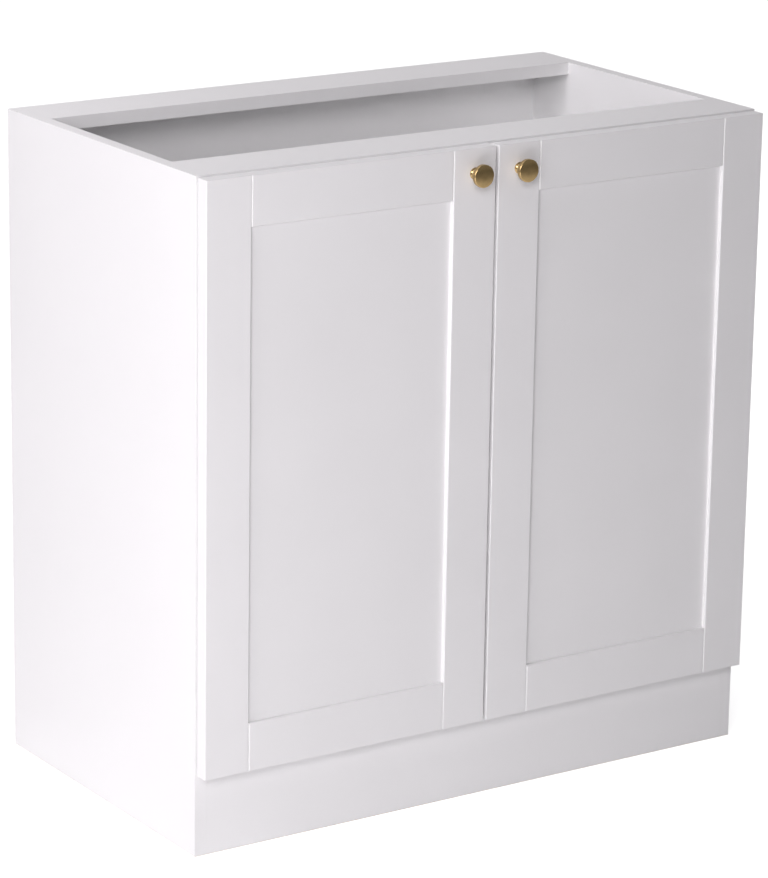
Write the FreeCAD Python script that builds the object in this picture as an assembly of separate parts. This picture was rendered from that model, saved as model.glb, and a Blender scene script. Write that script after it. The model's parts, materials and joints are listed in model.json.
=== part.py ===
import FreeCAD, Part
import math
import os

os.makedirs("parts", exist_ok=True)
Vector = FreeCAD.Vector

# Sink base cabinet: a flat-pack carcass without a worktop, closed by two framed doors that
# hang on concealed cup hinges. Millimetres. X runs to the right seen from the front, Y runs
# to the wall, Z runs up. The origin is on the floor, in the middle of the footprint.

# ---- carcass ----
cabinet_width = 800.0
cabinet_height = 820.0
carcass_depth = 446.0
side_thickness = 16.0
bottom_thickness = 16.0
rail_thickness = 16.0
plinth_thickness = 16.0
plinth_height = 100.0
front_rail_width = 80.0
rear_rail_width = 80.0
back_thickness = 3.0
back_overlap = 8.0          # how far the back reaches over each board it is nailed to
back_play = 0.5             # space between the back's edges and the rebates

# ---- doors ----
door_thickness = 18.0
door_standoff = 2.0         # from the carcass front to the back of the door
side_reveal = 2.0           # the door's outer edge lies this far inside the side panel's face
top_reveal = 2.0
bottom_reveal = 2.0         # above the plinth's top edge
meeting_gap = 4.0
stile_width = 60.0
door_rail_width = 60.0
panel_thickness = 6.0
panel_recess = 5.0          # from the frame's front to the panel's front
groove_depth = 10.0
tongue_length = 9.0
inner_chamfer = 1.2         # along the frame's inner edges; two make the V line at a rail's end
edge_round = 1.0            # round on the frame's outer front edges

# ---- knobs ----
knob_from_edge = 30.0
knob_from_top = 30.0
knob_projection = 21.0
knob_head_radius = 13.8
knob_head_height = 7.0
knob_dome = 0.9             # the face's middle stands this far above its rim
knob_flat_radius = 2.0      # the face is level this far out from its middle
knob_rim_round = 1.3
knob_neck_radius = 5.0
knob_foot_radius = 7.2
knob_foot_height = 1.2
knob_screw_radius = 2.0
knob_screw_grip = 12.0      # how far the screw runs into the knob
knob_screw_head_radius = 4.0
knob_screw_head_height = 1.4
knob_bore_radius = 2.3
knob_bore_spare = 0.5       # the knob's bore is this much deeper than the screw reaches

# ---- door bumpers ----
bumper_radius = 4.0
bumper_height = 1.7
bumper_round = 1.2
bumper_from_edge = 24.0

# ---- concealed hinges: sizes ----
hinge_from_door_end = 98.0
cup_from_edge = 22.5        # from the door's outer edge to the middle of the cup
cup_radius = 17.45
cup_depth = 13.0
cup_wall = 0.8
cup_flange = 1.2
cup_flange_radius = 18.8
cup_inner_half = 7.4        # half the width of the room for the links
cup_screw_offset = 9.5      # further from the edge than the cup's middle
cup_screw_half_span = 22.5
cup_ear_half_width = 5.5
cup_ear_round = 5.0
cup_screw_radius = 1.75
cup_screw_head_radius = 3.4
cup_screw_head_height = 0.8
cup_screw_length = 13.0
hinge_pin_radius = 1.3
pin_in_cheek = 1.4          # how far a cup pin runs into the solid cheek beside the links
pin_gap = 0.05              # running clearance in a link's eye
link_half_width = 1.9
link_eye_radius = 2.8
inner_link_half = 4.8       # half the inner link's height
outer_link_layer = (5.2, 6.7)
link_web_start = 4.0        # the outer link's web, measured from its arm pivot to its bend
link_web_end = 18.0
link_web_sheet = 1.2
arm_layer = (7.1, 8.6)
arm_nose_radius = 3.2
arm_sheet = 1.5
plate_screw_from_front = 37.0
plate_screw_half_span = 16.0
plate_screw_radius = 3.0
plate_screw_length = 11.0
plate_screw_head_radius = 4.6
plate_screw_head_height = 2.4
plate_base = 2.2
plate_wing_half_width = 6.0
plate_wing_round = 5.5
plate_wing_half_span = 25.0
plate_block_front = 15.0    # the plate's block reaches this far in front of its screws
plate_block_rear_gap = 3.0  # and stops this far before the arm's rear end
plate_block_ramp = 5.0
arm_rear = 62.0             # from the carcass front to the arm's rear end
arm_lift = 3.0              # the arm's edges clear the side panel by this much
arm_web_front = 22.8        # the arm's web stops this far behind the carcass front
arm_cheek_step = 24.0       # here the cheeks narrow towards the pins
arm_over_block = 8.0        # room between the plate's block and the arm's web
fixing_screw_from_front = 52.0
fixing_screw_radius = 2.0
fixing_screw_head_radius = 4.0
fixing_screw_head_height = 2.2
fixing_screw_head_round = 0.8
adjusting_screw_from_front = 27.0
adjusting_screw_radius = 2.5
adjusting_screw_proud = 0.6

# ---- concealed hinges: pivots of the closed linkage ----
# (u, v): u from the door's outer edge to its middle, v from the door's back to its front.
outer_arm_pivot = (38.7, -19.9)
outer_cup_pivot = (10.6, 1.8)
outer_link_bend = (17.4, 3.6)
inner_arm_pivot = (39.0, -4.6)
inner_cup_pivot = (13.4, 6.2)
inner_link_bend = (24.6, 8.2)
inner_slot_near = (13.65, 6.2)   # the inner link meets its cup pin with a slot
inner_slot_far = (12.5, 8.25)
inner_slot_gap = 0.35            # half the slot's width, over the pin's radius
inner_slot_wall = 1.2

# ---- board joints ----
fit_gap = 0.05              # radial space round a dowel, a bolt or a cam in its hole
dowel_radius = 4.0
dowel_in_side = 10.5
dowel_in_board = 19.5
dowel_chamfer = 1.0
hole_spare = 0.5            # a blind hole is this much deeper than what sits in it
cam_radius = 7.5
cam_depth = 12.5
cam_setback = 34.0          # from the board's end to the middle of the cam
cam_slot_length = 9.0
cam_slot_width = 1.6
cam_slot_depth = 1.2
bolt_thread_radius = 2.5
bolt_thread_length = 11.0
bolt_shank_radius = 3.4
bolt_neck_radius = 2.0
bolt_neck_length = 4.5
bolt_neck_taper = 1.0
bolt_head_radius = 3.2
bolt_head_height = 2.5
bolt_bore_radius = 4.0
nail_radius = 0.8
nail_head_radius = 1.7
nail_head_height = 0.6
nail_length = 20.0
nail_point = 2.0
nail_tip_radius = 0.2
nails_across = 5            # along the top and along the bottom
nails_upright = 3           # up each side, between those rows
nail_row_inset = 38.0       # from the side panel's inner face to the row's last nail
rail_dowel_offset = 24.0    # from the middle of a top rail, on either side of its cam
bottom_cam_inset = 60.0     # from the bottom panel's front edge, and from its rear edge
bottom_dowel_inset = 28.0
plinth_dowel_offset = 28.0  # above and below the plinth's cam

# ---- all screws ----
recess_length = 3.8         # a cross recess: two slots of this length
recess_width = 1.0
recess_depth = 1.0
screw_point = 2.0
screw_tip_radius = 0.4
screw_crown = 0.7           # the flat of a head, as a share of its radius

# ---- places that follow from the sizes ----
before_carcass = knob_projection + door_thickness + door_standoff
front_y = (before_carcass - carcass_depth) / 2
rear_y = front_y + carcass_depth
outer_x = cabinet_width / 2
inner_x = outer_x - side_thickness
rail_z = cabinet_height - rail_thickness
bottom_z = plinth_height
floor_of_cabinet_z = plinth_height + bottom_thickness
back_y = rear_y - back_thickness
back_top_z = rail_z + back_overlap
door_back_y = front_y - door_standoff
door_front_y = door_back_y - door_thickness
door_width = outer_x - side_reveal - meeting_gap / 2
door_bottom_z = plinth_height + bottom_reveal
door_top_z = cabinet_height - top_reveal
door_outer_x = -outer_x + side_reveal
door_inner_x = door_outer_x + door_width
hinge_heights = [door_bottom_z + hinge_from_door_end, door_top_z - hinge_from_door_end]
same_place = 0.01           # two coordinates nearer than this are taken as one


def box(x0, x1, y0, y1, z0, z1):
    return Part.makeBox(x1 - x0, y1 - y0, z1 - z0, Vector(x0, y0, z0))


def rod(radius, start, end):
    along = end - start
    return Part.makeCylinder(radius, along.Length, start, along)


def turned(profile, base, axis):
    """A solid of revolution: profile is a list of (distance along the axis, radius)."""
    points = [Vector(radius, 0, along) for along, radius in profile]
    points = [Vector(0, 0, profile[0][0])] + points + [Vector(0, 0, profile[-1][0])]
    outline = Part.makePolygon(points + [points[0]])
    solid = Part.Face(outline).revolve(Vector(0, 0, 0), Vector(0, 0, 1), 360)
    solid.Placement = FreeCAD.Placement(base, FreeCAD.Rotation(Vector(0, 0, 1), axis))
    return solid


def cross_recess(face, axis):
    """Two crossed slots, let into the middle of a screw's face."""
    slots = []
    for x, y in ((recess_length, recess_width), (recess_width, recess_length)):
        slots.append(Part.makeBox(x, y, recess_depth, Vector(-x / 2, -y / 2, -recess_depth)))
    cross = slots[0].fuse(slots[1])
    cross.Placement = FreeCAD.Placement(face, FreeCAD.Rotation(Vector(0, 0, 1), axis))
    return cross


def screw(seat, axis, length, radius, head_radius, head_height):
    """A pan-headed screw; seat is the underside of its head and axis points out of it."""
    profile = [
        (-length, screw_tip_radius),
        (screw_point - length, radius),
        (0, radius),
        (0, head_radius),
        (head_height / 2, head_radius),
        (head_height, head_radius * screw_crown),
    ]
    return turned(profile, seat, axis).cut(cross_recess(seat + axis * head_height, axis))


def edges_where(shape, **place):
    """The edges whose ends lie at the given x, y or z."""
    found = []
    for edge in shape.Edges:
        ends = [vertex.Point for vertex in edge.Vertexes]
        off = [abs(getattr(end, axis) - value) for end in ends for axis, value in place.items()]
        if max(off) < same_place:
            found.append(edge)
    return found


def edges_along(block, axis):
    """The four edges of a box that run along x, y or z."""
    found = []
    for edge in block.Edges:
        start, end = [getattr(vertex.Point, axis) for vertex in edge.Vertexes]
        if abs(end - start) > same_place:
            found.append(edge)
    return found


def mirrored(shape):
    return shape.mirror(Vector(0, 0, 0), Vector(1, 0, 0))


def group(solids):
    return Part.makeCompound(solids)


parts = {}


# ==== where the boards are joined ====
# A joint is (side, y, z, face): side is -1 or 1, and face points from the middle of the
# board's thickness to the surface that the cam is let into.
def end_joints(y, z, face):
    return [(side, y, z, face) for side in (-1, 1)]


down = Vector(0, 0, -1)
backward = Vector(0, 1, 0)
front_rail_y = front_y + front_rail_width / 2
rear_rail_y = rear_y - rear_rail_width / 2
rail_mid_z = rail_z + rail_thickness / 2
bottom_mid_z = bottom_z + bottom_thickness / 2
plinth_mid_y = front_y + plinth_thickness / 2

cam_joints = {
    "front_top_rail": end_joints(front_rail_y, rail_mid_z, down),
    "rear_top_rail": end_joints(rear_rail_y, rail_mid_z, down),
    "bottom_panel": end_joints(front_y + bottom_cam_inset, bottom_mid_z, down)
    + end_joints(back_y - bottom_cam_inset, bottom_mid_z, down),
    "plinth_board": end_joints(plinth_mid_y, plinth_height / 2, backward),
}
dowel_joints = {
    "front_top_rail": end_joints(front_rail_y - rail_dowel_offset, rail_mid_z, down)
    + end_joints(front_rail_y + rail_dowel_offset, rail_mid_z, down),
    "rear_top_rail": end_joints(rear_rail_y - rail_dowel_offset, rail_mid_z, down)
    + end_joints(rear_rail_y + rail_dowel_offset, rail_mid_z, down),
    "bottom_panel": end_joints(front_y + bottom_dowel_inset, bottom_mid_z, down)
    + end_joints(back_y - bottom_dowel_inset, bottom_mid_z, down),
    "plinth_board": end_joints(plinth_mid_y, plinth_height / 2 - plinth_dowel_offset, backward)
    + end_joints(plinth_mid_y, plinth_height / 2 + plinth_dowel_offset, backward),
}
half_thickness = {
    "front_top_rail": rail_thickness / 2,
    "rear_top_rail": rail_thickness / 2,
    "bottom_panel": bottom_thickness / 2,
    "plinth_board": plinth_thickness / 2,
}


def board_end(joint):
    side, y, z, _ = joint
    return Vector(side * inner_x, y, z)


def outward(joint):
    return Vector(joint[0], 0, 0)


def cam_seat(joint, board):
    """The middle of the cam, on the surface that it is let into."""
    face = joint[3]
    return board_end(joint) - outward(joint) * cam_setback + face * half_thickness[board]


def cam_holes(joint, board):
    face = joint[3]
    seat = cam_seat(joint, board)
    pocket = rod(cam_radius + fit_gap, seat, seat - face * (cam_depth + hole_spare))
    bore = rod(bolt_bore_radius, board_end(joint), board_end(joint) - outward(joint) * cam_setback)
    return [pocket, bore]


def cam_housing(joint, board):
    """The round cam: a slot for the driver in its face, and a way in for the bolt's head."""
    face = joint[3]
    seat = cam_seat(joint, board)
    centre = board_end(joint) - outward(joint) * cam_setback
    housing = rod(cam_radius, seat, seat - face * cam_depth)
    way_in = rod(bolt_bore_radius, centre - outward(joint), centre + outward(joint) * cam_radius)
    across = outward(joint).cross(face)
    corner = Vector(-cam_slot_length / 2, -cam_slot_width / 2, -cam_slot_depth)
    slot = Part.makeBox(cam_slot_length, cam_slot_width, cam_slot_depth, corner)
    slot.Placement = FreeCAD.Placement(seat, FreeCAD.Rotation(across, outward(joint), face))
    return housing.cut(way_in).cut(slot)


def cam_bolt(joint):
    """Threaded end in the side panel, collar on its face, neck and head in the cam."""
    neck_start = cam_setback - bolt_head_height - bolt_neck_length
    profile = [
        (-bolt_thread_length, bolt_thread_radius),
        (0, bolt_thread_radius),
        (0, bolt_shank_radius),
        (neck_start, bolt_shank_radius),
        (neck_start + bolt_neck_taper, bolt_neck_radius),
        (neck_start + bolt_neck_length, bolt_neck_radius),
        (neck_start + bolt_neck_length, bolt_head_radius),
        (cam_setback, bolt_head_radius),
    ]
    return turned(profile, board_end(joint), outward(joint) * -1)


def dowel(joint):
    end = board_end(joint)
    solid = rod(dowel_radius, end + outward(joint) * dowel_in_side,
                end - outward(joint) * dowel_in_board)
    return solid.makeChamfer(dowel_chamfer, [edge for edge in solid.Edges if len(edge.Vertexes) == 1])


def dowel_hole_in_side(joint):
    end = board_end(joint)
    return rod(dowel_radius + fit_gap, end, end + outward(joint) * (dowel_in_side + hole_spare))


def dowel_hole_in_board(joint):
    end = board_end(joint)
    return rod(dowel_radius + fit_gap, end, end - outward(joint) * (dowel_in_board + hole_spare))


def bolt_hole_in_side(joint):
    end = board_end(joint)
    return rod(bolt_thread_radius + fit_gap, end,
               end + outward(joint) * (bolt_thread_length + hole_spare))


def drilled_board(board, name):
    holes = []
    for joint in cam_joints[name]:
        holes += cam_holes(joint, name)
    for joint in dowel_joints[name]:
        holes.append(dowel_hole_in_board(joint))
    return board.cut(holes)


# ==== the boards of the carcass ====
def side_panel(side):
    """A side that stands on the floor, with a rebate for the back and its joint holes."""
    panel = box(-outer_x, -inner_x, front_y, rear_y, 0, cabinet_height)
    rebate = box(-inner_x - back_overlap, -inner_x, back_y, rear_y, 0, back_top_z)
    panel = panel.cut(rebate)
    if side > 0:
        panel = mirrored(panel)
    holes = []
    for name in cam_joints:
        holes += [bolt_hole_in_side(joint) for joint in cam_joints[name] if joint[0] == side]
        holes += [dowel_hole_in_side(joint) for joint in dowel_joints[name] if joint[0] == side]
    holes += plate_screw_holes(side)
    return panel.cut(holes)


def rear_rail():
    """The rear rail's lower back edge is rebated over the top of the back."""
    rail = box(-inner_x, inner_x, rear_y - rear_rail_width, rear_y, rail_z, cabinet_height)
    return rail.cut(box(-inner_x, inner_x, back_y, rear_y, rail_z, back_top_z))


# ==== concealed hinges ====
# A hinge is drawn in plan: u runs from the door's outer edge to its middle, v runs from the
# door's back to its front, and w runs up from the hinge's middle. All as seen on the left
# door, closed. The right door's hinges are the mirror image.
def hinge_point(u, v, w):
    return Vector(door_outer_x + u, door_back_y - v, w)


def plan_prism(outline, low, high):
    """A plate between two heights; outline is a closed list of (u, v)."""
    points = [hinge_point(u, v, low) for u, v in outline]
    return Part.Face(Part.makePolygon(points + [points[0]])).extrude(Vector(0, 0, high - low))


def pin_at(centre, radius, low, high):
    return rod(radius, hinge_point(*centre, low), hinge_point(*centre, high))


def bar(start, end, half_width, low, high):
    """A straight flat bar with round ends."""
    length = math.dist(start, end)
    across = ((start[1] - end[1]) / length * half_width, (end[0] - start[0]) / length * half_width)
    outline = [
        (start[0] + across[0], start[1] + across[1]),
        (end[0] + across[0], end[1] + across[1]),
        (end[0] - across[0], end[1] - across[1]),
        (start[0] - across[0], start[1] - across[1]),
    ]
    middle = plan_prism(outline, low, high)
    return middle.fuse([pin_at(start, half_width, low, high), pin_at(end, half_width, low, high)])


def both_layers(low, high):
    """The same layer above and below the hinge's middle."""
    return [(low, high), (-high, -low)]


side_u = side_thickness - side_reveal         # the side panel's inner face
front_v = -door_standoff                      # the front of the carcass
plate_v = front_v - plate_screw_from_front
arm_top_u = max(outer_arm_pivot[0], inner_arm_pivot[0]) + arm_nose_radius
arm_rear_v = front_v - arm_rear
block_top_u = arm_top_u - arm_sheet - arm_over_block
screw_u = cup_from_edge + cup_screw_offset
cup_pin_half = cup_inner_half + pin_in_cheek


def link_web():
    """The outer link's web, along the edge of its plates that faces the side panel."""
    run = math.dist(outer_arm_pivot, outer_link_bend)
    along = [(outer_link_bend[axis] - outer_arm_pivot[axis]) / run for axis in (0, 1)]
    outline = []
    for distance, aside in (
        (link_web_start, link_half_width - link_web_sheet),
        (link_web_end, link_half_width - link_web_sheet),
        (link_web_end, link_half_width),
        (link_web_start, link_half_width),
    ):
        outline.append((
            outer_arm_pivot[0] + along[0] * distance - along[1] * aside,
            outer_arm_pivot[1] + along[1] * distance + along[0] * aside,
        ))
    high = outer_link_layer[1]
    return plan_prism(outline, -high, high)


def outer_link():
    """A bent channel that carries the cup from the arm's rear pin: two plates and a web."""
    plates = []
    for low, high in both_layers(*outer_link_layer):
        plate = bar(outer_arm_pivot, outer_link_bend, link_half_width, low, high)
        plates.append(plate.fuse([
            bar(outer_link_bend, outer_cup_pivot, link_half_width, low, high),
            pin_at(outer_arm_pivot, link_eye_radius, low, high),
            pin_at(outer_cup_pivot, link_eye_radius, low, high),
        ]))
    link = link_web().fuse(plates)
    reach = outer_link_layer[1]
    eyes = [pin_at(pivot, hinge_pin_radius + pin_gap, -reach, reach)
            for pivot in (outer_arm_pivot, outer_cup_pivot)]
    return [link.cut(eyes).removeSplitter()]


def inner_link():
    """The bent bar between the plates: a round eye at the arm, a slot at the cup."""
    low, high = -inner_link_half, inner_link_half
    slot_half = hinge_pin_radius + inner_slot_gap
    link = bar(inner_arm_pivot, inner_link_bend, link_half_width, low, high)
    link = link.fuse([
        bar(inner_link_bend, inner_slot_near, link_half_width, low, high),
        pin_at(inner_arm_pivot, link_eye_radius, low, high),
        bar(inner_slot_near, inner_slot_far, slot_half + inner_slot_wall, low, high),
    ])
    link = link.cut(pin_at(inner_arm_pivot, hinge_pin_radius + pin_gap, low, high))
    link = link.cut(bar(inner_slot_near, inner_slot_far, slot_half, low, high))
    return [link.removeSplitter()]


def hinge_arm():
    """A channel over the mounting plate; its two cheeks run forward to the pins."""
    low, high = arm_layer
    under_u = side_u + arm_lift
    throat_u = arm_top_u - 2 * arm_nose_radius
    cheek_front_v = front_v - arm_cheek_step
    side_view = [
        (under_u, arm_rear_v),
        (arm_top_u, arm_rear_v),
        (arm_top_u, outer_arm_pivot[1]),
        (throat_u, outer_arm_pivot[1]),
        (throat_u, cheek_front_v),
        (under_u, cheek_front_v - (throat_u - under_u)),
    ]
    cheeks = []
    for layer in both_layers(low, high):
        nose = bar(outer_arm_pivot, inner_arm_pivot, arm_nose_radius, *layer)
        cheek = plan_prism(side_view, *layer).fuse(nose)
        eyes = [pin_at(pivot, hinge_pin_radius, *layer)
                for pivot in (outer_arm_pivot, inner_arm_pivot)]
        cheeks.append(cheek.cut(eyes))
    web_front_v = front_v - arm_web_front
    web_outline = [
        (arm_top_u - arm_sheet, arm_rear_v),
        (arm_top_u, arm_rear_v),
        (arm_top_u, web_front_v),
        (arm_top_u - arm_sheet, web_front_v),
    ]
    arm = plan_prism(web_outline, -high, high).fuse(cheeks)
    return [arm.cut(screw_cores()).removeSplitter()]


def across_arm(from_front, radius, start_u, end_u):
    """A rod square to the side panel, at the hinge's mid-height."""
    v = front_v - from_front
    return rod(radius, hinge_point(start_u, v, 0), hinge_point(end_u, v, 0))


def screw_cores():
    """The shanks of the fixing screw and the adjusting screw."""
    return [
        across_arm(fixing_screw_from_front, fixing_screw_radius, side_u + plate_base, arm_top_u),
        across_arm(adjusting_screw_from_front, adjusting_screw_radius, block_top_u,
                   arm_top_u + adjusting_screw_proud),
    ]


def arm_screws():
    """The screw that holds the arm on its plate, and the one that sets the door sideways."""
    fixing, adjusting = screw_cores()
    head_top_u = arm_top_u + fixing_screw_head_height
    head = across_arm(fixing_screw_from_front, fixing_screw_head_radius, arm_top_u, head_top_u)
    crown = edges_where(head, x=door_outer_x + head_top_u)
    fixing = fixing.fuse(head.makeFillet(fixing_screw_head_round, crown)).removeSplitter()
    fixing_face = hinge_point(head_top_u, front_v - fixing_screw_from_front, 0)
    adjusting_face = hinge_point(
        arm_top_u + adjusting_screw_proud, front_v - adjusting_screw_from_front, 0)
    return [
        fixing.cut(cross_recess(fixing_face, Vector(1, 0, 0))),
        adjusting.cut(cross_recess(adjusting_face, Vector(1, 0, 0))),
    ]


def mounting_plate():
    """A cross-shaped plate: wings with the two screws, and the block that the arm sits on."""
    half = arm_layer[0]
    wing = box(
        door_outer_x + side_u, door_outer_x + side_u + plate_base,
        door_back_y - plate_v - plate_wing_half_width, door_back_y - plate_v + plate_wing_half_width,
        -plate_wing_half_span, plate_wing_half_span,
    )
    wing = wing.makeFillet(plate_wing_round, edges_along(wing, "x"))
    rear_v = arm_rear_v + plate_block_rear_gap
    block_front_v = plate_v + plate_block_front
    block = plan_prism(
        [
            (side_u, rear_v),
            (block_top_u, rear_v),
            (block_top_u, block_front_v - plate_block_ramp),
            (block_top_u - plate_block_ramp, block_front_v),
            (side_u, block_front_v),
        ],
        -half, half,
    )
    plate = wing.fuse(block)
    for w in (-plate_screw_half_span, plate_screw_half_span):
        start = hinge_point(side_u, plate_v, w)
        plate = plate.cut(rod(plate_screw_radius + fit_gap, start, start + Vector(plate_base, 0, 0)))
    return [plate.cut(screw_cores()[0]).removeSplitter()]


def plate_screws():
    """One above and one below the arm."""
    inward = Vector(1, 0, 0)
    return [
        screw(hinge_point(side_u + plate_base, plate_v, w), inward, plate_screw_length + plate_base,
              plate_screw_radius, plate_screw_head_radius, plate_screw_head_height)
        for w in (-plate_screw_half_span, plate_screw_half_span)
    ]


def plate_screw_holes(side):
    """The blind holes in a side panel, for both hinges of its door."""
    holes = []
    for z in hinge_heights:
        for w in (-plate_screw_half_span, plate_screw_half_span):
            mouth = hinge_point(side_u, plate_v, z + w)
            bottom = mouth - Vector(plate_screw_length + hole_spare, 0, 0)
            hole = rod(plate_screw_radius + fit_gap, mouth, bottom)
            holes.append(hole if side < 0 else mirrored(hole))
    return holes


def arm_pins():
    low, high = arm_layer
    return [pin_at(pivot, hinge_pin_radius, -high, high)
            for pivot in (outer_arm_pivot, inner_arm_pivot)]


def cup_pins():
    """Two short pins for the plates, and one through pin for the slotted bar."""
    pins = [pin_at(outer_cup_pivot, hinge_pin_radius, low, high)
            for low, high in both_layers(outer_link_layer[0], cup_pin_half)]
    return pins + [pin_at(inner_cup_pivot, hinge_pin_radius, -cup_pin_half, cup_pin_half)]


def cup_pocket(z):
    """The round pocket that is milled into the door's back."""
    mouth = hinge_point(cup_from_edge, 0, z)
    return rod(cup_radius + fit_gap, mouth, mouth - Vector(0, cup_depth, 0))


def cup_screw_places():
    return [hinge_point(screw_u, 0, w) for w in (-cup_screw_half_span, cup_screw_half_span)]


def hinge_cup():
    """The cup with its two-eared flange; a slot between two cheeks makes room for the links."""
    mouth = hinge_point(cup_from_edge, 0, 0)
    proud = Vector(0, cup_flange, 0)
    cup = rod(cup_radius, mouth, mouth - Vector(0, cup_depth, 0))
    flange = rod(cup_flange_radius, mouth, mouth + proud)
    ears = box(
        mouth.x + cup_screw_offset - cup_ear_half_width, mouth.x + cup_screw_offset + cup_ear_half_width,
        mouth.y, mouth.y + cup_flange,
        -cup_screw_half_span - cup_ear_half_width, cup_screw_half_span + cup_ear_half_width,
    )
    ears = ears.makeFillet(cup_ear_round, edges_along(ears, "y"))
    cup = cup.fuse([flange, ears])
    room = rod(cup_radius - cup_wall, mouth + proud, mouth - Vector(0, cup_depth - cup_wall, 0))
    between = box(
        mouth.x - cup_radius, mouth.x + cup_radius,
        mouth.y - cup_depth, mouth.y + cup_flange,
        -cup_inner_half, cup_inner_half,
    )
    way_out = box(
        door_outer_x, mouth.x,
        mouth.y, mouth.y + cup_flange,
        -cup_inner_half, cup_inner_half,
    )
    cup = cup.cut([room.common(between), way_out])
    for place in cup_screw_places():
        cup = cup.cut(rod(cup_screw_radius + fit_gap, place, place + proud))
    pin_holes = [pin_at(pivot, hinge_pin_radius, -cup_pin_half, cup_pin_half)
                 for pivot in (outer_cup_pivot, inner_cup_pivot)]
    return [cup.cut(pin_holes).removeSplitter()]


def cup_screws():
    proud = Vector(0, cup_flange, 0)
    return [
        screw(place + proud, backward, cup_screw_length + cup_flange,
              cup_screw_radius, cup_screw_head_radius, cup_screw_head_height)
        for place in cup_screw_places()
    ]


def cup_screw_holes(z):
    holes = []
    for place in cup_screw_places():
        mouth = place + Vector(0, 0, z)
        bottom = mouth - Vector(0, cup_screw_length + hole_spare, 0)
        holes.append(rod(cup_screw_radius + fit_gap, mouth, bottom))
    return holes


def at_hinges(solids):
    """Copies of one hinge's solids at every hinge of the door."""
    placed = []
    for z in hinge_heights:
        for solid in solids:
            copy = solid.copy()
            copy.translate(Vector(0, 0, z))
            placed.append(copy)
    return placed


# ==== the doors, drawn as the left one ====
panel_front_y = door_front_y + panel_recess
panel_back_y = panel_front_y + panel_thickness
opening_x0 = door_outer_x + stile_width
opening_x1 = door_inner_x - stile_width
opening_z0 = door_bottom_z + door_rail_width
opening_z1 = door_top_z - door_rail_width


def stile(outer_edge_x, inner_edge_x):
    """An upright of the frame, grooved along the edge that faces the panel."""
    x0, x1 = sorted((outer_edge_x, inner_edge_x))
    body = box(x0, x1, door_front_y, door_back_y, door_bottom_z, door_top_z)
    body = body.makeChamfer(inner_chamfer, edges_where(body, x=inner_edge_x, y=door_front_y))
    body = body.makeFillet(edge_round, edges_where(body, x=outer_edge_x, y=door_front_y))
    toward = math.copysign(groove_depth, outer_edge_x - inner_edge_x)
    g0, g1 = sorted((inner_edge_x, inner_edge_x + toward))
    return body.cut(box(g0, g1, panel_front_y, panel_back_y, door_bottom_z, door_top_z))


def door_rail(outer_edge_z, inner_edge_z):
    """A cross-piece with a tongue at each end and a groove along the panel."""
    z0, z1 = sorted((outer_edge_z, inner_edge_z))
    body = box(opening_x0, opening_x1, door_front_y, door_back_y, z0, z1)
    inner_edges = edges_where(body, z=inner_edge_z, y=door_front_y) \
        + edges_where(body, x=opening_x0, y=door_front_y) \
        + edges_where(body, x=opening_x1, y=door_front_y)
    body = body.makeChamfer(inner_chamfer, inner_edges)
    toward = math.copysign(groove_depth, outer_edge_z - inner_edge_z)
    g0, g1 = sorted((inner_edge_z, inner_edge_z + toward))
    body = body.cut(box(opening_x0, opening_x1, panel_front_y, panel_back_y, g0, g1))
    t0, t1 = sorted((outer_edge_z, inner_edge_z + toward))
    tongue = box(opening_x0 - tongue_length, opening_x1 + tongue_length,
                 panel_front_y, panel_back_y, t0, t1)
    return body.fuse(tongue).removeSplitter()


def door_panel():
    return box(opening_x0 - tongue_length, opening_x1 + tongue_length,
               panel_front_y, panel_back_y,
               opening_z0 - tongue_length, opening_z1 + tongue_length)


# ==== knobs and bumpers ====
knob_x = door_inner_x - knob_from_edge
knob_z = door_top_z - knob_from_top


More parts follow.
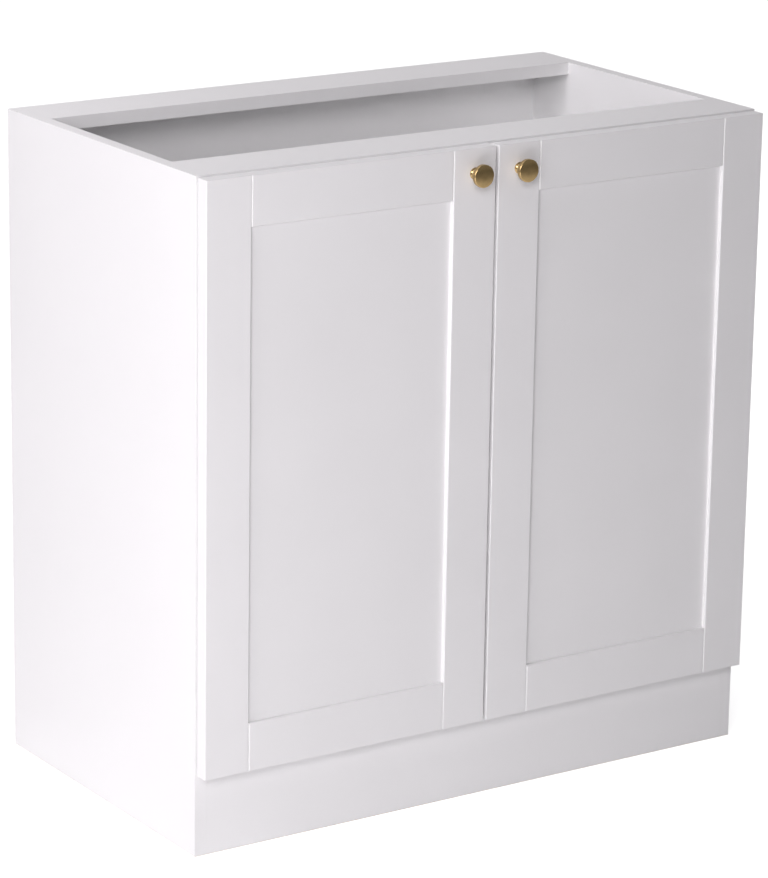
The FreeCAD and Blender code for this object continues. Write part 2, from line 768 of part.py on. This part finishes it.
def knob():
    """A turned knob: a foot, a waist that flares under the head, and a slightly domed face."""
    head_start = knob_projection - knob_head_height
    waist_height = head_start / 2
    foot = Vector(knob_foot_radius, 0, 0)
    foot_top = Vector(knob_foot_radius, 0, knob_foot_height)
    waist = Vector(knob_neck_radius, 0, waist_height)
    foot_curve = Vector((knob_foot_radius + 3 * knob_neck_radius) / 4, 0,
                        (knob_foot_height + waist_height) / 2)
    under_head = Vector(knob_head_radius - knob_rim_round, 0, head_start)
    flare = Vector((2 * knob_neck_radius + under_head.x) / 3, 0,
                   (waist_height + 3 * head_start) / 4)
    lower_rim = Vector(knob_head_radius, 0, head_start + knob_rim_round)
    rim_bend = knob_rim_round * (1 - math.sqrt(0.5))
    lower_bend = Vector(knob_head_radius - rim_bend, 0, head_start + rim_bend)
    face_height = knob_projection - knob_dome
    upper_rim = Vector(knob_head_radius, 0, face_height - knob_rim_round)
    upper_bend = Vector(knob_head_radius - rim_bend, 0, face_height - rim_bend)
    face_edge = Vector(knob_head_radius - knob_rim_round, 0, face_height)
    crown = Vector(0, 0, knob_projection)
    flat_edge = Vector(knob_flat_radius, 0, knob_projection)
    dome_run = face_edge.x - knob_flat_radius
    dome_radius = (dome_run ** 2 + knob_dome ** 2) / (2 * knob_dome)
    dome_drop = dome_radius - math.sqrt(dome_radius ** 2 - dome_run ** 2 / 4)
    dome_bend = Vector(knob_flat_radius + dome_run / 2, 0, knob_projection - dome_drop)
    edges = [
        Part.LineSegment(Vector(0, 0, 0), foot),
        Part.LineSegment(foot, foot_top),
        Part.Arc(foot_top, foot_curve, waist),
        Part.Arc(waist, flare, under_head),
        Part.Arc(under_head, lower_bend, lower_rim),
        Part.LineSegment(lower_rim, upper_rim),
        Part.Arc(upper_rim, upper_bend, face_edge),
        Part.Arc(face_edge, dome_bend, flat_edge),
        Part.LineSegment(flat_edge, crown),
        Part.LineSegment(crown, Vector(0, 0, 0)),
    ]
    outline = Part.Wire([edge.toShape() for edge in edges])
    solid = Part.Face(outline).revolve(Vector(0, 0, 0), Vector(0, 0, 1), 360)
    bore_end = Vector(0, 0, knob_screw_grip + knob_bore_spare)
    solid = solid.cut(rod(knob_screw_radius, Vector(0, 0, 0), bore_end))
    turn = FreeCAD.Rotation(Vector(0, 0, 1), Vector(0, -1, 0))
    solid.Placement = FreeCAD.Placement(Vector(knob_x, door_front_y, knob_z), turn)
    return solid


def knob_screw():
    """A machine screw from the back of the stile into the knob."""
    return screw(Vector(knob_x, door_back_y, knob_z), backward, door_thickness + knob_screw_grip,
                 knob_screw_radius, knob_screw_head_radius, knob_screw_head_height)


def bumpers():
    """Small clear domes that meet the carcass at the door's free corners."""
    domes = []
    x = door_inner_x - bumper_from_edge
    for z in (bottom_mid_z, rail_mid_z):
        start = Vector(x, door_back_y, z)
        dome = rod(bumper_radius, start, start + Vector(0, bumper_height, 0))
        crown = edges_where(dome, y=start.y + bumper_height)
        domes.append(dome.makeFillet(bumper_round, crown))
    return domes


def left_door():
    """Every piece of the left door and its hinges, by name."""
    hinge_stile = stile(door_outer_x, opening_x0)
    for z in hinge_heights:
        hinge_stile = hinge_stile.cut([cup_pocket(z)] + cup_screw_holes(z))
    knob_bore = rod(knob_bore_radius, Vector(knob_x, door_front_y, knob_z),
                    Vector(knob_x, door_back_y, knob_z))
    top_rail = door_rail(door_top_z, opening_z1)
    top_rail = top_rail.makeFillet(edge_round, edges_where(top_rail, z=door_top_z, y=door_front_y))
    bottom_rail = door_rail(door_bottom_z, opening_z0)
    bottom_rail = bottom_rail.makeFillet(
        edge_round, edges_where(bottom_rail, z=door_bottom_z, y=door_front_y))
    return {
        "door_hinge_stile": hinge_stile,
        "door_knob_stile": stile(door_inner_x, opening_x1).cut(knob_bore),
        "door_top_rail": top_rail,
        "door_bottom_rail": bottom_rail,
        "door_centre_panel": door_panel(),
        "hinge_cups": group(at_hinges(hinge_cup())),
        "hinge_cup_screws": group(at_hinges(cup_screws())),
        "hinge_cup_pins": group(at_hinges(cup_pins())),
        "hinge_outer_links": group(at_hinges(outer_link())),
        "hinge_inner_links": group(at_hinges(inner_link())),
        "hinge_arms": group(at_hinges(hinge_arm())),
        "hinge_arm_pins": group(at_hinges(arm_pins())),
        "hinge_arm_screws": group(at_hinges(arm_screws())),
        "hinge_mounting_plates": group(at_hinges(mounting_plate())),
        "hinge_plate_screws": group(at_hinges(plate_screws())),
        "knob": knob(),
        "knob_screw": knob_screw(),
        "door_bumpers": group(bumpers()),
    }


# ==== the back's nails ====
def back_nails():
    """Wire nails through the back, round its four edges."""
    edge_x = inner_x + back_overlap / 2
    top_z = back_top_z - back_overlap / 2
    low_z = bottom_mid_z
    row_end_x = inner_x - nail_row_inset
    places = []
    for step in range(nails_across):
        x = -row_end_x + 2 * row_end_x * step / (nails_across - 1)
        places += [(x, low_z), (x, top_z)]
    for step in range(1, nails_upright + 1):
        z = low_z + (top_z - low_z) * step / (nails_upright + 1)
        places += [(-edge_x, z), (edge_x, z)]
    profile = [
        (-nail_length, nail_tip_radius),
        (nail_point - nail_length, nail_radius),
        (-nail_head_height, nail_radius),
        (-nail_head_height, nail_head_radius),
        (0, nail_head_radius),
    ]
    return [turned(profile, Vector(x, rear_y, z), backward) for x, z in places]


# ==== the whole cabinet ====
nails = back_nails()
parts["left_side_panel"] = side_panel(-1).cut(nails)
parts["right_side_panel"] = side_panel(1).cut(nails)
parts["bottom_panel"] = drilled_board(
    box(-inner_x, inner_x, front_y, back_y, bottom_z, floor_of_cabinet_z), "bottom_panel"
).cut(nails)
parts["front_top_rail"] = drilled_board(
    box(-inner_x, inner_x, front_y, front_y + front_rail_width, rail_z, cabinet_height),
    "front_top_rail",
)
parts["rear_top_rail"] = drilled_board(rear_rail(), "rear_top_rail").cut(nails)
parts["plinth_board"] = drilled_board(
    box(-inner_x, inner_x, front_y, front_y + plinth_thickness, 0, plinth_height), "plinth_board"
)
parts["back_panel"] = box(
    -inner_x - back_overlap + back_play, inner_x + back_overlap - back_play,
    back_y, rear_y, plinth_height, back_top_z,
).cut(nails)
parts["back_panel_nails"] = group(nails)
parts["joint_dowels"] = group([dowel(joint) for joints in dowel_joints.values() for joint in joints])
parts["cam_bolts"] = group([cam_bolt(joint) for joints in cam_joints.values() for joint in joints])
parts["cam_housings"] = group(
    [cam_housing(joint, board) for board, joints in cam_joints.items() for joint in joints])

for name, shape in left_door().items():
    parts["left_" + name] = shape
    parts["right_" + name] = mirrored(shape)

for name, shape in parts.items():
    shape.exportStep("parts/" + name + ".step")
    print(name, len(shape.Solids), "solids", round(shape.Volume / 1000, 2), "cm3", shape.isValid())
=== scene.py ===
import json
import math
import bpy
from mathutils import Matrix, Vector

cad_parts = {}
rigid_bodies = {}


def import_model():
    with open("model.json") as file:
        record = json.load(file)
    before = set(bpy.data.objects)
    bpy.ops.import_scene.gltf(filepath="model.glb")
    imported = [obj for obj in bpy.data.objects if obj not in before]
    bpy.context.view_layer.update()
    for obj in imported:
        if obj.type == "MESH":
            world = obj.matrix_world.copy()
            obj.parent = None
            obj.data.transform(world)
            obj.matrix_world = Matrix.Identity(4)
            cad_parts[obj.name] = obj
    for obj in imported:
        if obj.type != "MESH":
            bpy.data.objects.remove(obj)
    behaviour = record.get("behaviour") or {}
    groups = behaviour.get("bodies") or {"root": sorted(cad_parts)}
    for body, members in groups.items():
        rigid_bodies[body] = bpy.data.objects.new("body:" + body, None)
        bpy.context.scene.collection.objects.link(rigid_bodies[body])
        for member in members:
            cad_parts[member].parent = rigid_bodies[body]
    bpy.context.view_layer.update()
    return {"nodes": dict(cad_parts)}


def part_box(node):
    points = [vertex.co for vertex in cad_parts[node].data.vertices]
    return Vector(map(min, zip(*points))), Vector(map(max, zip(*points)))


# Sink base cabinet with two framed doors: its finishes and its studio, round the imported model.
# Lengths are in metres, and mm turns millimetres into them.
mm = 0.001

for leftover in list(bpy.data.objects):     # the cube, light and camera that Blender starts with
    bpy.data.objects.remove(leftover)
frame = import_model()
nodes = frame["nodes"]
print("frame:", len(nodes), "pieces from the model")


# sRGB hex to the linear light that shaders work in
def linear(hexColour):
    shares = [int(hexColour[place:place + 2], 16) / 255 for place in (1, 3, 5)]
    return [s / 12.92 if s <= 0.04045 else ((s + 0.055) / 1.055) ** 2.4 for s in shares] + [1.0]


# how often a pattern of this size comes in a metre
def perMetre(sizeMm):
    return 1 / (sizeMm * mm)


# adds a node with its settings; each input is a value, or the output that feeds it. A Mix node
# has its share in input 0, its colours in inputs 6 and 7 and their mixture in output 2
def addNode(tree, kind, inputs=None, **settings):
    node = tree.nodes.new(kind)
    for name, value in settings.items():
        setattr(node, name, value)
    for socket, value in (inputs or {}).items():
        if isinstance(value, bpy.types.NodeSocket):
            tree.links.new(value, node.inputs[socket])
        else:
            node.inputs[socket].default_value = value
    return node


# a bare material, its tree, and the place on the object that its patterns read
def startMaterial(name):
    material = bpy.data.materials.new(name)
    material.use_nodes = True
    tree = material.node_tree
    tree.nodes.clear()
    return material, tree, addNode(tree, "ShaderNodeTexCoord").outputs["Object"]


def finishMaterial(tree, shader):
    addNode(tree, "ShaderNodeOutputMaterial", {"Surface": shader.outputs["BSDF"]})


# The carcass's boards
board = {
    "white": "#FBFBFB",
    "offWhite": "#F6F6F6",
    "cloudMm": 220,         # broad, faint change of tone over a board
    "roughness": 0.4,
    "ior": 1.5,
    "pearlMm": 2.4,         # dimples of the press plate, really 0.5 mm, drawn coarser so that they show
    "pearlDepthMm": 0.015,
    "edgeRoundMm": 0.7,     # how far the taped edges turn over
    "sawnMm": 0.4,          # the bare chips end this far above the floor
    "chipLight": "#C9A877",
    "chipDark": "#8A6A45",
    "chipMm": 3.5,
    "chipRoughness": 0.9,
}


# Melamine-faced chipboard: a hard, even satin white with a fine pearl grain in the shine. Where it
# was sawn and stands on the floor, the pressed wood chips are bare.
def makeMelamine():
    material, tree, point = startMaterial("melamine-faced chipboard")
    cloud = addNode(tree, "ShaderNodeTexNoise", {"Vector": point, "Scale": perMetre(board["cloudMm"])})
    white = addNode(tree, "ShaderNodeMix", {
        0: cloud.outputs["Fac"], 6: linear(board["white"]), 7: linear(board["offWhite"]),
    }, data_type="RGBA")
    chips = addNode(tree, "ShaderNodeTexVoronoi", {"Vector": point, "Scale": perMetre(board["chipMm"])})
    chipTone = addNode(tree, "ShaderNodeSeparateColor", {"Color": chips.outputs["Color"]})
    chipboard = addNode(tree, "ShaderNodeMix", {
        0: chipTone.outputs["Red"], 6: linear(board["chipDark"]), 7: linear(board["chipLight"]),
    }, data_type="RGBA")
    place = addNode(tree, "ShaderNodeSeparateXYZ", {"Vector": point})
    sawn = addNode(tree, "ShaderNodeMath", {
        0: place.outputs["Z"], 1: board["sawnMm"] * mm,
    }, operation="LESS_THAN")
    colour = addNode(tree, "ShaderNodeMix", {
        0: sawn.outputs[0], 6: white.outputs[2], 7: chipboard.outputs[2],
    }, data_type="RGBA")
    sheen = addNode(tree, "ShaderNodeMapRange", {
        "Value": sawn.outputs[0], "To Min": board["roughness"], "To Max": board["chipRoughness"],
    })
    pearl = addNode(tree, "ShaderNodeTexNoise", {
        "Vector": point, "Scale": perMetre(board["pearlMm"]), "Detail": 1.0,
    })
    turned = addNode(tree, "ShaderNodeBevel", {"Radius": board["edgeRoundMm"] * mm}, samples=4)
    dimples = addNode(tree, "ShaderNodeBump", {
        "Height": pearl.outputs["Fac"], "Distance": board["pearlDepthMm"] * mm,
        "Normal": turned.outputs["Normal"],
    })
    finishMaterial(tree, addNode(tree, "ShaderNodeBsdfPrincipled", {
        "Base Color": colour.outputs[2], "Roughness": sheen.outputs[0],
        "Normal": dimples.outputs["Normal"], "IOR": board["ior"],
    }))
    return material


# The doors
door = {
    "white": "#FAFAFA",
    "offWhite": "#F4F4F4",
    "cloudMm": 160,
    "smoothest": 0.32,      # roughness between the marks, and in them
    "roughest": 0.4,
    "ior": 1.5,
    "grainLengthMm": 60,    # brushed marks along each piece of the frame
    "grainWidthMm": 1.5,
    "grainDepthMm": 0.02,
    "edgeRoundMm": 0.6,
}


# Lacquered MDF: a soft satin white whose faint marks run along each stile, rail and panel.
def makeLacquer(name, along):
    material, tree, point = startMaterial("lacquered MDF, " + name)
    cloud = addNode(tree, "ShaderNodeTexNoise", {"Vector": point, "Scale": perMetre(door["cloudMm"])})
    white = addNode(tree, "ShaderNodeMix", {
        0: cloud.outputs["Fac"], 6: linear(door["white"]), 7: linear(door["offWhite"]),
    }, data_type="RGBA")
    scales = [perMetre(door["grainWidthMm"])] * 3
    scales["XYZ".index(along)] = perMetre(door["grainLengthMm"])
    stretched = addNode(tree, "ShaderNodeMapping", {"Vector": point, "Scale": scales})
    grain = addNode(tree, "ShaderNodeTexNoise", {
        "Vector": stretched.outputs["Vector"], "Scale": 1.0, "Detail": 3.0,
    })
    sheen = addNode(tree, "ShaderNodeMapRange", {
        "Value": grain.outputs["Fac"], "To Min": door["smoothest"], "To Max": door["roughest"],
    })
    turned = addNode(tree, "ShaderNodeBevel", {"Radius": door["edgeRoundMm"] * mm}, samples=4)
    marks = addNode(tree, "ShaderNodeBump", {
        "Height": grain.outputs["Fac"], "Distance": door["grainDepthMm"] * mm,
        "Normal": turned.outputs["Normal"],
    })
    finishMaterial(tree, addNode(tree, "ShaderNodeBsdfPrincipled", {
        "Base Color": white.outputs[2], "Roughness": sheen.outputs[0],
        "Normal": marks.outputs["Normal"], "IOR": door["ior"],
    }))
    return material


# The back
backSheet = {
    "white": "#FCFCFC",
    "brown": "#B0895E",
    "darkBrown": "#8A6845",
    "fibreMm": 1.6,         # matted wood fibres, drawn a little coarse
    "fibreDepthMm": 0.03,
    "fibreStrength": 0.6,
    "mottleMm": 45,
    "allDark": 0.1,         # fibre times mottle below this is wholly dark
    "allLight": 0.45,       # and above this wholly light
    "lacquerMm": 0.2,       # how deep the white goes
    "roughness": 0.5,
    "bareRoughness": 0.7,
}


# Hardboard, lacquered white on the cupboard's side. On the wall's side it is bare: brown, matted
# fibres with darker clouds.
def makeHardboard():
    material, tree, point = startMaterial("hardboard, one side lacquered")
    fibre = addNode(tree, "ShaderNodeTexNoise", {
        "Vector": point, "Scale": perMetre(backSheet["fibreMm"]), "Detail": 4.0,
    })
    mottle = addNode(tree, "ShaderNodeTexNoise", {"Vector": point, "Scale": perMetre(backSheet["mottleMm"])})
    both = addNode(tree, "ShaderNodeMath", {
        0: fibre.outputs["Fac"], 1: mottle.outputs["Fac"],
    }, operation="MULTIPLY")
    depth = addNode(tree, "ShaderNodeMapRange", {
        "Value": both.outputs[0], "From Min": backSheet["allDark"], "From Max": backSheet["allLight"],
    })
    brown = addNode(tree, "ShaderNodeMix", {
        0: depth.outputs[0], 6: linear(backSheet["darkBrown"]), 7: linear(backSheet["brown"]),
    }, data_type="RGBA")
    place = addNode(tree, "ShaderNodeSeparateXYZ", {"Vector": point})
    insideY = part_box("back_panel")[0].y
    bare = addNode(tree, "ShaderNodeMath", {
        0: place.outputs["Y"], 1: insideY + backSheet["lacquerMm"] * mm,
    }, operation="GREATER_THAN")
    colour = addNode(tree, "ShaderNodeMix", {
        0: bare.outputs[0], 6: linear(backSheet["white"]), 7: brown.outputs[2],
    }, data_type="RGBA")
    sheen = addNode(tree, "ShaderNodeMapRange", {
        "Value": bare.outputs[0], "To Min": backSheet["roughness"], "To Max": backSheet["bareRoughness"],
    })
    felted = addNode(tree, "ShaderNodeBump", {
        "Height": fibre.outputs["Fac"], "Distance": backSheet["fibreDepthMm"] * mm,
        "Strength": backSheet["fibreStrength"],
    })
    finishMaterial(tree, addNode(tree, "ShaderNodeBsdfPrincipled", {
        "Base Color": colour.outputs[2], "Roughness": sheen.outputs[0], "Normal": felted.outputs["Normal"],
    }))
    return material


# The knobs
knob = {
    "bright": "#C5AA79",
    "dull": "#A88E63",
    "smoothest": 0.12,      # roughness where the lacquer is clear, and where it is dull
    "roughest": 0.25,
    "ringMm": 0.55,         # one turn of the lathe tool to the next
    "ringDepthMm": 0.004,
    "dullMm": 6,            # size of the duller places
}


# Turned brass under clear lacquer: soft gold with fine lathe rings, dulled a little in places.
def makeBrass():
    material, tree, point = startMaterial("turned brass")
    low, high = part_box("left_knob")
    middle = (low + high) / 2       # the right knob is its mirror image, at the same height
    place = addNode(tree, "ShaderNodeSeparateXYZ", {"Vector": point})
    across = addNode(tree, "ShaderNodeMath", {0: place.outputs["X"]}, operation="ABSOLUTE")
    x = addNode(tree, "ShaderNodeMath", {0: across.outputs[0], 1: abs(middle.x)}, operation="SUBTRACT")
    z = addNode(tree, "ShaderNodeMath", {0: place.outputs["Z"], 1: middle.z}, operation="SUBTRACT")
    fromAxis = addNode(tree, "ShaderNodeCombineXYZ", {"X": x.outputs[0], "Y": 0.0, "Z": z.outputs[0]})
    radius = addNode(tree, "ShaderNodeVectorMath", {0: fromAxis.outputs[0]}, operation="LENGTH")
    turns = addNode(tree, "ShaderNodeMath", {
        0: radius.outputs["Value"], 1: 2 * math.pi / (knob["ringMm"] * mm),
    }, operation="MULTIPLY")
    rings = addNode(tree, "ShaderNodeMath", {0: turns.outputs[0]}, operation="COSINE")
    tarnish = addNode(tree, "ShaderNodeTexNoise", {
        "Vector": point, "Scale": perMetre(knob["dullMm"]), "Detail": 3.0,
    })
    colour = addNode(tree, "ShaderNodeMix", {
        0: tarnish.outputs["Fac"], 6: linear(knob["bright"]), 7: linear(knob["dull"]),
    }, data_type="RGBA")
    sheen = addNode(tree, "ShaderNodeMapRange", {
        "Value": tarnish.outputs["Fac"], "To Min": knob["smoothest"], "To Max": knob["roughest"],
    })
    turned = addNode(tree, "ShaderNodeBump", {
        "Height": rings.outputs[0], "Distance": knob["ringDepthMm"] * mm,
    })
    finishMaterial(tree, addNode(tree, "ShaderNodeBsdfPrincipled", {
        "Base Color": colour.outputs[2], "Metallic": 1.0, "Roughness": sheen.outputs[0],
        "Normal": turned.outputs["Normal"],
    }))
    return material


# Hinges, screws, nails, cams and bolts
ironmongery = {
    "nickel": "#C9C5BC",
    "nickelDark": "#A9A59C",
    "nickelSmooth": 0.22,
    "nickelRough": 0.34,
    "pressMm": 0.8,         # marks of the press
    "zinc": "#B4B6B8",
    "zincDark": "#8E9194",
    "zincSmooth": 0.36,
    "zincRough": 0.5,
    "castMm": 1.2,          # grains of the cast skin
    "castDepthMm": 0.03,
}


# Nickel-plated steel strip: warm bright grey, with the fine marks of the press.
def makeNickelSteel():
    material, tree, point = startMaterial("nickel-plated steel")
    marks = addNode(tree, "ShaderNodeTexNoise", {
        "Vector": point, "Scale": perMetre(ironmongery["pressMm"]), "Detail": 3.0,
    })
    colour = addNode(tree, "ShaderNodeMix", {
        0: marks.outputs["Fac"], 6: linear(ironmongery["nickel"]), 7: linear(ironmongery["nickelDark"]),
    }, data_type="RGBA")
    sheen = addNode(tree, "ShaderNodeMapRange", {
        "Value": marks.outputs["Fac"],
        "To Min": ironmongery["nickelSmooth"], "To Max": ironmongery["nickelRough"],
    })
    finishMaterial(tree, addNode(tree, "ShaderNodeBsdfPrincipled", {
        "Base Color": colour.outputs[2], "Metallic": 1.0, "Roughness": sheen.outputs[0],
    }))
    return material


# Die-cast zinc: cooler and duller, its skin a little grainy from the mould.
def makeZinc():
    material, tree, point = startMaterial("die-cast zinc")
    skin = addNode(tree, "ShaderNodeTexNoise", {
        "Vector": point, "Scale": perMetre(ironmongery["castMm"]), "Detail": 4.0,
    })
    colour = addNode(tree, "ShaderNodeMix", {
        0: skin.outputs["Fac"], 6: linear(ironmongery["zinc"]), 7: linear(ironmongery["zincDark"]),
    }, data_type="RGBA")
    sheen = addNode(tree, "ShaderNodeMapRange", {
        "Value": skin.outputs["Fac"],
        "To Min": ironmongery["zincSmooth"], "To Max": ironmongery["zincRough"],
    })
    grainy = addNode(tree, "ShaderNodeBump", {
        "Height": skin.outputs["Fac"], "Distance": ironmongery["castDepthMm"] * mm,
    })
    finishMaterial(tree, addNode(tree, "ShaderNodeBsdfPrincipled", {
        "Base Color": colour.outputs[2], "Metallic": 1.0, "Roughness": sheen.outputs[0],
        "Normal": grainy.outputs["Normal"],
    }))
    return material


# The dowels
dowel = {
    "light": "#D2AE80",
    "dark": "#A57F52",
    "fleckLengthMm": 5,
    "fleckWidthMm": 0.5,
    "roughness": 0.6,
}


# Beech: pale pinkish tan, with short darker flecks along the dowel.
def makeBeech():
    material, tree, point = startMaterial("beech")
    across = perMetre(dowel["fleckWidthMm"])
    along = addNode(tree, "ShaderNodeMapping", {
        "Vector": point, "Scale": (perMetre(dowel["fleckLengthMm"]), across, across),
    })
    flecks = addNode(tree, "ShaderNodeTexNoise", {
        "Vector": along.outputs["Vector"], "Scale": 1.0, "Detail": 3.0,
    })
    colour = addNode(tree, "ShaderNodeMix", {
        0: flecks.outputs["Fac"], 6: linear(dowel["light"]), 7: linear(dowel["dark"]),
    }, data_type="RGBA")
    finishMaterial(tree, addNode(tree, "ShaderNodeBsdfPrincipled", {
        "Base Color": colour.outputs[2], "Roughness": dowel["roughness"],
    }))
    return material


# The bumpers
bumper = {
    "clear": "#EEF2F2",
    "seeThrough": 0.85,
    "ior": 1.41,
    "dustMm": 1.5,
    "clean": 0.12,          # roughness of the skin where it is clean, and where dust lies
    "dusty": 0.3,
}


# Clear silicone: a soft drop that lets the paint behind it show, with a slightly dusty skin.
def makeSilicone():
    material, tree, point = startMaterial("silicone")
    dust = addNode(tree, "ShaderNodeTexNoise", {
        "Vector": point, "Scale": perMetre(bumper["dustMm"]), "Detail": 2.0,
    })
    sheen = addNode(tree, "ShaderNodeMapRange", {
        "Value": dust.outputs["Fac"], "To Min": bumper["clean"], "To Max": bumper["dusty"],
    })
    finishMaterial(tree, addNode(tree, "ShaderNodeBsdfPrincipled", {
        "Base Color": linear(bumper["clear"]), "Roughness": sheen.outputs[0], "IOR": bumper["ior"],
        "Transmission Weight": bumper["seeThrough"],
    }))
    return material


# Which piece has which finish; what isn't named here is nickel-plated
melamine = makeMelamine()
uprightLacquer = makeLacquer("upright marks", "Z")
levelLacquer = makeLacquer("level marks", "X")
nickelSteel = makeNickelSteel()
zinc = makeZinc()
finishOf = {
    "back_panel": makeHardboard(), "knob": makeBrass(), "joint_dowels": makeBeech(),
    "door_bumpers": makeSilicone(),
    "door_top_rail": levelLacquer, "door_bottom_rail": levelLacquer,
    "door_hinge_stile": uprightLacquer, "door_knob_stile": uprightLacquer,
    "door_centre_panel": uprightLacquer,
    "side_panel": melamine, "bottom_panel": melamine, "plinth_board": melamine,
    "front_top_rail": melamine, "rear_top_rail": melamine,
    "cam_housings": zinc, "hinge_cups": zinc, "hinge_mounting_plates": zinc,
}
for name, piece in nodes.items():
    plain = name.removeprefix("left_").removeprefix("right_")
    for place in piece.material_slots:
        place.material = finishOf.get(plain, nickelSteel)
print("finishes:", len({nickelSteel, *finishOf.values()}), "materials")


# The camera: a long lens from the left and a little above
lookout = {
    "place": (-2.573, -3.848, 1.733),
    "turnDeg": -33.71,      # from straight ahead
    "tiltDeg": -16.01,
    "rollDeg": 0.905,
    "lensMm": 158.2,
    "seesToM": 100,
}
cameraData = bpy.data.cameras.new("camera")
cameraData.lens = lookout["lensMm"]
cameraData.clip_end = lookout["seesToM"]
camera = bpy.data.objects.new("camera", cameraData)
camera.matrix_world = (
    Matrix.Translation(lookout["place"])
    @ Matrix.Rotation(math.radians(lookout["turnDeg"]), 4, "Z")
    @ Matrix.Rotation(math.radians(90 + lookout["tiltDeg"]), 4, "X")
    @ Matrix.Rotation(math.radians(lookout["rollDeg"]), 4, "Z")
)
bpy.context.scene.collection.objects.link(camera)
bpy.context.scene.camera = camera
print("camera:", lookout["lensMm"], "mm lens")

# Big soft boxes: the main ones to the left, the others above and behind. Each is its place, its
# width in metres and its watts.
softBoxes = {
    "frontLeft": ((-2.0, -3.0, 2.4), 1.2, 42),
    "left": ((-3.0, -0.5, 2.2), 1.5, 44),
    "lowLeft": ((-3.0, -2.5, 1.5), 1.5, 27),
    "overhead": ((-0.7, 0.1, 2.0), 0.8, 3.2),
    "byTheFloor": ((-1.1, -1.3, 0.12), 0.6, 5),
    "behind": ((0.0, 2.2, 2.6), 1.2, 27),
    "behindRight": ((1.8, 1.6, 2.4), 1.2, 6),
}

# What the soft boxes share, and the paper floor with the white behind it
studio = {
    "white": "#FFFFFF",
    "aim": (0.0, 0.0, 0.4),
    "tint": "#FFFBFF",      # the photograph's whites are a little short of green
    "skyLight": 0.03,
    "skySeen": 1.0,         # the white that stands behind the floor
    "skyMirrored": 0.3,     # how much of it shows in gloss and metal
    "floorHalf": 20,
    "paper": "#F1F1F1",
    "paperDark": "#ECECEC",
    "paperRoughness": 0.9,
    "fibreMm": 30,
    "glowNear": 0.7,        # painted glow of the paper where the camera sees it, by the cabinet
    "glowFar": 1.0,         # and far from it
    "glowFarM": 3.5,        # how far that is
    "mirroredNear": 0.8,    # the same two for the painted reflection of the paper in gloss and metal
    "mirroredFar": 0.1,
}
for name, (place, width, watts) in softBoxes.items():
    data = bpy.data.lights.new(name, "AREA")
    data.shape = "SQUARE"
    data.size = width
    data.energy = watts
    data.color = linear(studio["tint"])[:3]
    light = bpy.data.objects.new(name, data)
    light.location = place
    light.rotation_euler = (Vector(studio["aim"]) - Vector(place)).to_track_quat("-Z", "Y").to_euler()
    light.visible_camera = False
    bpy.context.scene.collection.objects.link(light)
print("soft boxes:", len(softBoxes))

# White where it is seen behind the floor, and only a trace of light from it on the cabinet.
world = bpy.data.worlds.new("studio")
world.use_nodes = True
bpy.context.scene.world = world
sky = world.node_tree
ray = addNode(sky, "ShaderNodeLightPath")
mirrored = addNode(sky, "ShaderNodeMath", {
    0: ray.outputs["Is Glossy Ray"], 1: studio["skyMirrored"],
}, operation="MULTIPLY")
shown = addNode(sky, "ShaderNodeMath", {
    0: ray.outputs["Is Camera Ray"], 1: mirrored.outputs[0],
}, operation="MAXIMUM")
skyStrength = addNode(sky, "ShaderNodeMapRange", {
    "Value": shown.outputs[0], "To Min": studio["skyLight"], "To Max": studio["skySeen"],
})
sky.nodes["Background"].inputs["Color"].default_value = linear(studio["white"])
sky.links.new(skyStrength.outputs[0], sky.nodes["Background"].inputs["Strength"])


# Matt paper floor with a painted glow: the camera sees it glowing, less by the cabinet and more far from it,
# and gloss and metal see a painted reflection of it, brightest by the cabinet.
def makePaper():
    material, tree, point = startMaterial("paper floor")
    fibres = addNode(tree, "ShaderNodeTexNoise", {
        "Vector": point, "Scale": perMetre(studio["fibreMm"]), "Detail": 2.0,
    })
    tone = addNode(tree, "ShaderNodeMix", {
        0: fibres.outputs["Fac"], 6: linear(studio["paper"]), 7: linear(studio["paperDark"]),
    }, data_type="RGBA")
    away = addNode(tree, "ShaderNodeVectorMath", {0: point}, operation="LENGTH")
    ray = addNode(tree, "ShaderNodeLightPath")
    # painted glow for camera rays, rising with distance from the cabinet, and painted reflection for glossy
    # rays, fading with distance from it
    glows = []
    for kind, near, far in (
        ("Is Camera Ray", "glowNear", "glowFar"),
        ("Is Glossy Ray", "mirroredNear", "mirroredFar"),
    ):
        glow = addNode(tree, "ShaderNodeMapRange", {
            "Value": away.outputs["Value"], "From Max": studio["glowFarM"],
            "To Min": studio[near], "To Max": studio[far],
        })
        glows.append(addNode(tree, "ShaderNodeMath", {
            0: ray.outputs[kind], 1: glow.outputs["Result"],
        }, operation="MULTIPLY").outputs[0])
    glowing = addNode(tree, "ShaderNodeMath", {0: glows[0], 1: glows[1]}, operation="ADD")
    finishMaterial(tree, addNode(tree, "ShaderNodeBsdfPrincipled", {
        "Base Color": tone.outputs[2], "Roughness": studio["paperRoughness"],
        "Emission Color": linear(studio["white"]), "Emission Strength": glowing.outputs[0],
    }))
    return material


half = studio["floorHalf"]
floorData = bpy.data.meshes.new("floor")
corners = [(-half, -half, 0), (half, -half, 0), (half, half, 0), (-half, half, 0)]
floorData.from_pydata(corners, [], [(0, 1, 2, 3)])
floorData.materials.append(makePaper())
floor = bpy.data.objects.new("floor", floorData)
bpy.context.scene.collection.objects.link(floor)
bpy.context.scene.view_settings.view_transform = "Standard"
print("studio ready")
